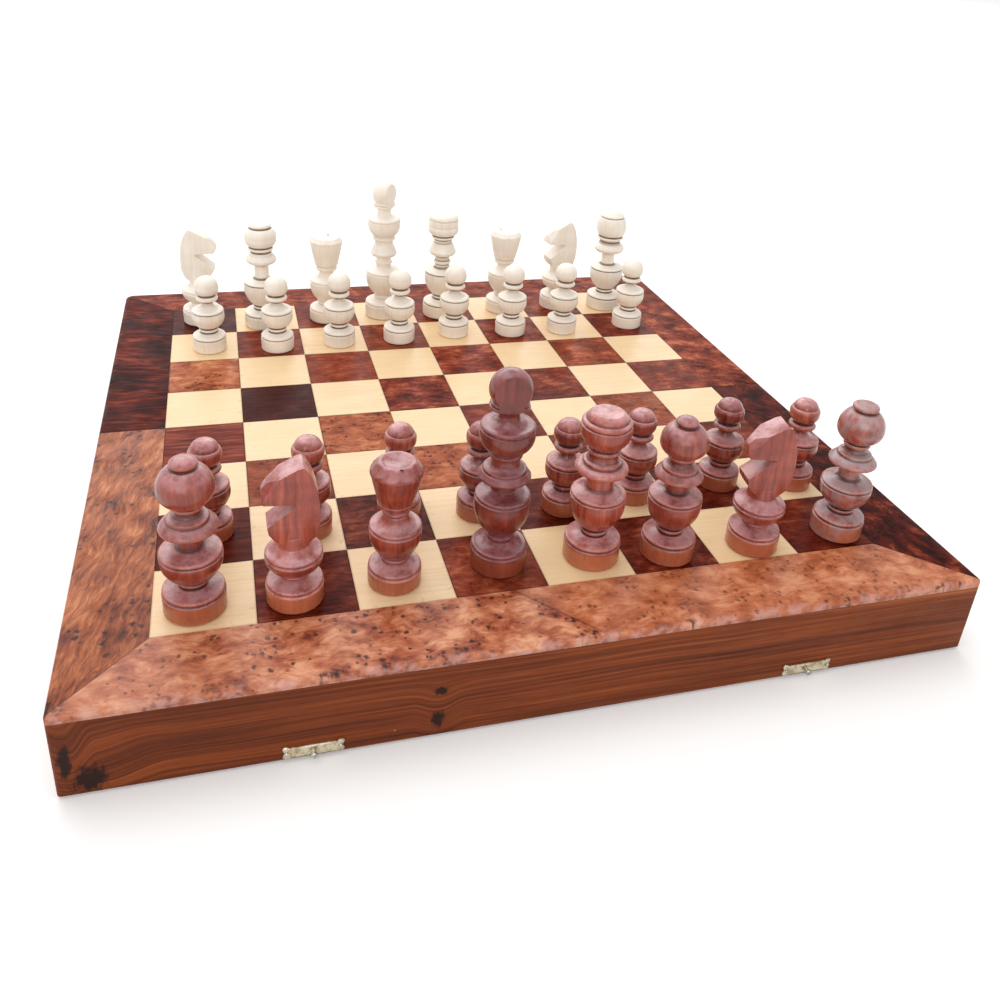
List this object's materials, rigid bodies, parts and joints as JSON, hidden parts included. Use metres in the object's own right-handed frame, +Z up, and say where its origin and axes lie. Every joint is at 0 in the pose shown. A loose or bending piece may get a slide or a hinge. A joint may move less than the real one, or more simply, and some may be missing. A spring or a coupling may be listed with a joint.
{
  "type": "chess set with board",
  "caption": "Folding wooden chess box inlaid with pale and burl squares, hinged across the middle, with its turned wooden pieces set up for play.",
  "frame": {"origin": "centre of the open board at the level it stands on", "axes": "+X along the folding seam to the right, +Y away from the near player, +Z up"},
  "size_m": [0.4, 0.4072, 0.1385],
  "materials": {
    "burl_border": "satin",
    "light_inlay": "satin",
    "burl_inlay": "satin",
    "panel_wood": "plain",
    "wall_wood": "satin",
    "aged_brass": "aged",
    "steel": "bright",
    "red_piece_wood": "satin",
    "white_piece_wood": "satin"
  },
  "bodies": {
    "near_half": {"near_border_strips": "burl_border", "near_light_squares": "light_inlay", "near_dark_squares": "burl_inlay", "near_playing_panel": "panel_wood", "near_outer_wall": "wall_wood", "near_left_wall": "wall_wood", "near_right_wall": "wall_wood", "near_seam_wall": "wall_wood", "near_hinge_leaves": "aged_brass", "near_hinge_screws": "aged_brass", "near_catch_plates": "aged_brass", "near_catch_nails": "aged_brass", "hinge_pins": "steel", "near_catch_studs": "steel"},
    "far_half": {"far_border_strips": "burl_border", "far_light_squares": "light_inlay", "far_dark_squares": "burl_inlay", "far_playing_panel": "panel_wood", "far_outer_wall": "wall_wood", "far_left_wall": "wall_wood", "far_right_wall": "wall_wood", "far_seam_wall": "wall_wood", "far_hinge_leaves": "aged_brass", "far_hinge_screws": "aged_brass", "far_catch_plates": "aged_brass", "far_catch_nails": "aged_brass"},
    "left_hook": {"left_hook": "aged_brass"},
    "right_hook": {"right_hook": "aged_brass"},
    "red_rook_left": {"red_rook_left": "red_piece_wood"},
    "red_knight_left": {"red_knight_left": "red_piece_wood"},
    "red_bishop_left": {"red_bishop_left": "red_piece_wood"},
    "red_king": {"red_king": "red_piece_wood"},
    "red_queen": {"red_queen": "red_piece_wood"},
    "red_bishop_right": {"red_bishop_right": "red_piece_wood"},
    "red_knight_right": {"red_knight_right": "red_piece_wood"},
    "red_rook_right": {"red_rook_right": "red_piece_wood"},
    "red_pawn_1": {"red_pawn_1": "red_piece_wood"},
    "red_pawn_2": {"red_pawn_2": "red_piece_wood"},
    "red_pawn_3": {"red_pawn_3": "red_piece_wood"},
    "red_pawn_4": {"red_pawn_4": "red_piece_wood"},
    "red_pawn_5": {"red_pawn_5": "red_piece_wood"},
    "red_pawn_6": {"red_pawn_6": "red_piece_wood"},
    "red_pawn_7": {"red_pawn_7": "red_piece_wood"},
    "red_pawn_8": {"red_pawn_8": "red_piece_wood"},
    "white_knight_left": {"white_knight_left": "white_piece_wood"},
    "white_rook_left": {"white_rook_left": "white_piece_wood"},
    "white_bishop_left": {"white_bishop_left": "white_piece_wood"},
    "white_king": {"white_king": "white_piece_wood"},
    "white_queen": {"white_queen": "white_piece_wood"},
    "white_bishop_right": {"white_bishop_right": "white_piece_wood"},
    "white_knight_right": {"white_knight_right": "white_piece_wood"},
    "white_rook_right": {"white_rook_right": "white_piece_wood"},
    "white_pawn_1": {"white_pawn_1": "white_piece_wood"},
    "white_pawn_2": {"white_pawn_2": "white_piece_wood"},
    "white_pawn_3": {"white_pawn_3": "white_piece_wood"},
    "white_pawn_4": {"white_pawn_4": "white_piece_wood"},
    "white_pawn_5": {"white_pawn_5": "white_piece_wood"},
    "white_pawn_6": {"white_pawn_6": "white_piece_wood"},
    "white_pawn_7": {"white_pawn_7": "white_piece_wood"},
    "white_pawn_8": {"white_pawn_8": "white_piece_wood"}
  },
  "joints": [
    {"name": "fold", "type": "hinge", "parent": "near_half", "child": "far_half", "pos_m": [0, 0, 0.0012], "axis": [1, 0, 0], "range_deg": [-180, 0]},
    {"name": "left_hook_swing", "type": "hinge", "parent": "far_half", "child": "left_hook", "pos_m": [-0.106, 0.2017, 0.0056], "axis": [0, 1, 0], "range_deg": [0, 90]},
    {"name": "right_hook_swing", "type": "hinge", "parent": "far_half", "child": "right_hook", "pos_m": [0.115, 0.2017, 0.0056], "axis": [0, 1, 0], "range_deg": [0, 90]},
    {"name": "red_rook_left_lift", "type": "slide", "parent": "near_half", "child": "red_rook_left", "axis": [0, 0, 1], "range_m": [0, 0.12]},
    {"name": "red_knight_left_lift", "type": "slide", "parent": "near_half", "child": "red_knight_left", "axis": [0, 0, 1], "range_m": [0, 0.12]},
    {"name": "red_bishop_left_lift", "type": "slide", "parent": "near_half", "child": "red_bishop_left", "axis": [0, 0, 1], "range_m": [0, 0.12]},
    {"name": "red_king_lift", "type": "slide", "parent": "near_half", "child": "red_king", "axis": [0, 0, 1], "range_m": [0, 0.12]},
    {"name": "red_queen_lift", "type": "slide", "parent": "near_half", "child": "red_queen", "axis": [0, 0, 1], "range_m": [0, 0.12]},
    {"name": "red_bishop_right_lift", "type": "slide", "parent": "near_half", "child": "red_bishop_right", "axis": [0, 0, 1], "range_m": [0, 0.12]},
    {"name": "red_knight_right_lift", "type": "slide", "parent": "near_half", "child": "red_knight_right", "axis": [0, 0, 1], "range_m": [0, 0.12]},
    {"name": "red_rook_right_lift", "type": "slide", "parent": "near_half", "child": "red_rook_right", "axis": [0, 0, 1], "range_m": [0, 0.12]},
    {"name": "red_pawn_1_lift", "type": "slide", "parent": "near_half", "child": "red_pawn_1", "axis": [0, 0, 1], "range_m": [0, 0.12]},
    {"name": "red_pawn_2_lift", "type": "slide", "parent": "near_half", "child": "red_pawn_2", "axis": [0, 0, 1], "range_m": [0, 0.12]},
    {"name": "red_pawn_3_lift", "type": "slide", "parent": "near_half", "child": "red_pawn_3", "axis": [0, 0, 1], "range_m": [0, 0.12]},
    {"name": "red_pawn_4_lift", "type": "slide", "parent": "near_half", "child": "red_pawn_4", "axis": [0, 0, 1], "range_m": [0, 0.12]},
    {"name": "red_pawn_5_lift", "type": "slide", "parent": "near_half", "child": "red_pawn_5", "axis": [0, 0, 1], "range_m": [0, 0.12]},
    {"name": "red_pawn_6_lift", "type": "slide", "parent": "near_half", "child": "red_pawn_6", "axis": [0, 0, 1], "range_m": [0, 0.12]},
    {"name": "red_pawn_7_lift", "type": "slide", "parent": "near_half", "child": "red_pawn_7", "axis": [0, 0, 1], "range_m": [0, 0.12]},
    {"name": "red_pawn_8_lift", "type": "slide", "parent": "near_half", "child": "red_pawn_8", "axis": [0, 0, 1], "range_m": [0, 0.12]},
    {"name": "white_knight_left_lift", "type": "slide", "parent": "far_half", "child": "white_knight_left", "axis": [0, 0, 1], "range_m": [0, 0.12]},
    {"name": "white_rook_left_lift", "type": "slide", "parent": "far_half", "child": "white_rook_left", "axis": [0, 0, 1], "range_m": [0, 0.12]},
    {"name": "white_bishop_left_lift", "type": "slide", "parent": "far_half", "child": "white_bishop_left", "axis": [0, 0, 1], "range_m": [0, 0.12]},
    {"name": "white_king_lift", "type": "slide", "parent": "far_half", "child": "white_king", "axis": [0, 0, 1], "range_m": [0, 0.12]},
    {"name": "white_queen_lift", "type": "slide", "parent": "far_half", "child": "white_queen", "axis": [0, 0, 1], "range_m": [0, 0.12]},
    {"name": "white_bishop_right_lift", "type": "slide", "parent": "far_half", "child": "white_bishop_right", "axis": [0, 0, 1], "range_m": [0, 0.12]},
    {"name": "white_knight_right_lift", "type": "slide", "parent": "far_half", "child": "white_knight_right", "axis": [0, 0, 1], "range_m": [0, 0.12]},
    {"name": "white_rook_right_lift", "type": "slide", "parent": "far_half", "child": "white_rook_right", "axis": [0, 0, 1], "range_m": [0, 0.12]},
    {"name": "white_pawn_1_lift", "type": "slide", "parent": "far_half", "child": "white_pawn_1", "axis": [0, 0, 1], "range_m": [0, 0.12]},
    {"name": "white_pawn_2_lift", "type": "slide", "parent": "far_half", "child": "white_pawn_2", "axis": [0, 0, 1], "range_m": [0, 0.12]},
    {"name": "white_pawn_3_lift", "type": "slide", "parent": "far_half", "child": "white_pawn_3", "axis": [0, 0, 1], "range_m": [0, 0.12]},
    {"name": "white_pawn_4_lift", "type": "slide", "parent": "far_half", "child": "white_pawn_4", "axis": [0, 0, 1], "range_m": [0, 0.12]},
    {"name": "white_pawn_5_lift", "type": "slide", "parent": "far_half", "child": "white_pawn_5", "axis": [0, 0, 1], "range_m": [0, 0.12]},
    {"name": "white_pawn_6_lift", "type": "slide", "parent": "far_half", "child": "white_pawn_6", "axis": [0, 0, 1], "range_m": [0, 0.12]},
    {"name": "white_pawn_7_lift", "type": "slide", "parent": "far_half", "child": "white_pawn_7", "axis": [0, 0, 1], "range_m": [0, 0.12]},
    {"name": "white_pawn_8_lift", "type": "slide", "parent": "far_half", "child": "white_pawn_8", "axis": [0, 0, 1], "range_m": [0, 0.12]}
  ]
}
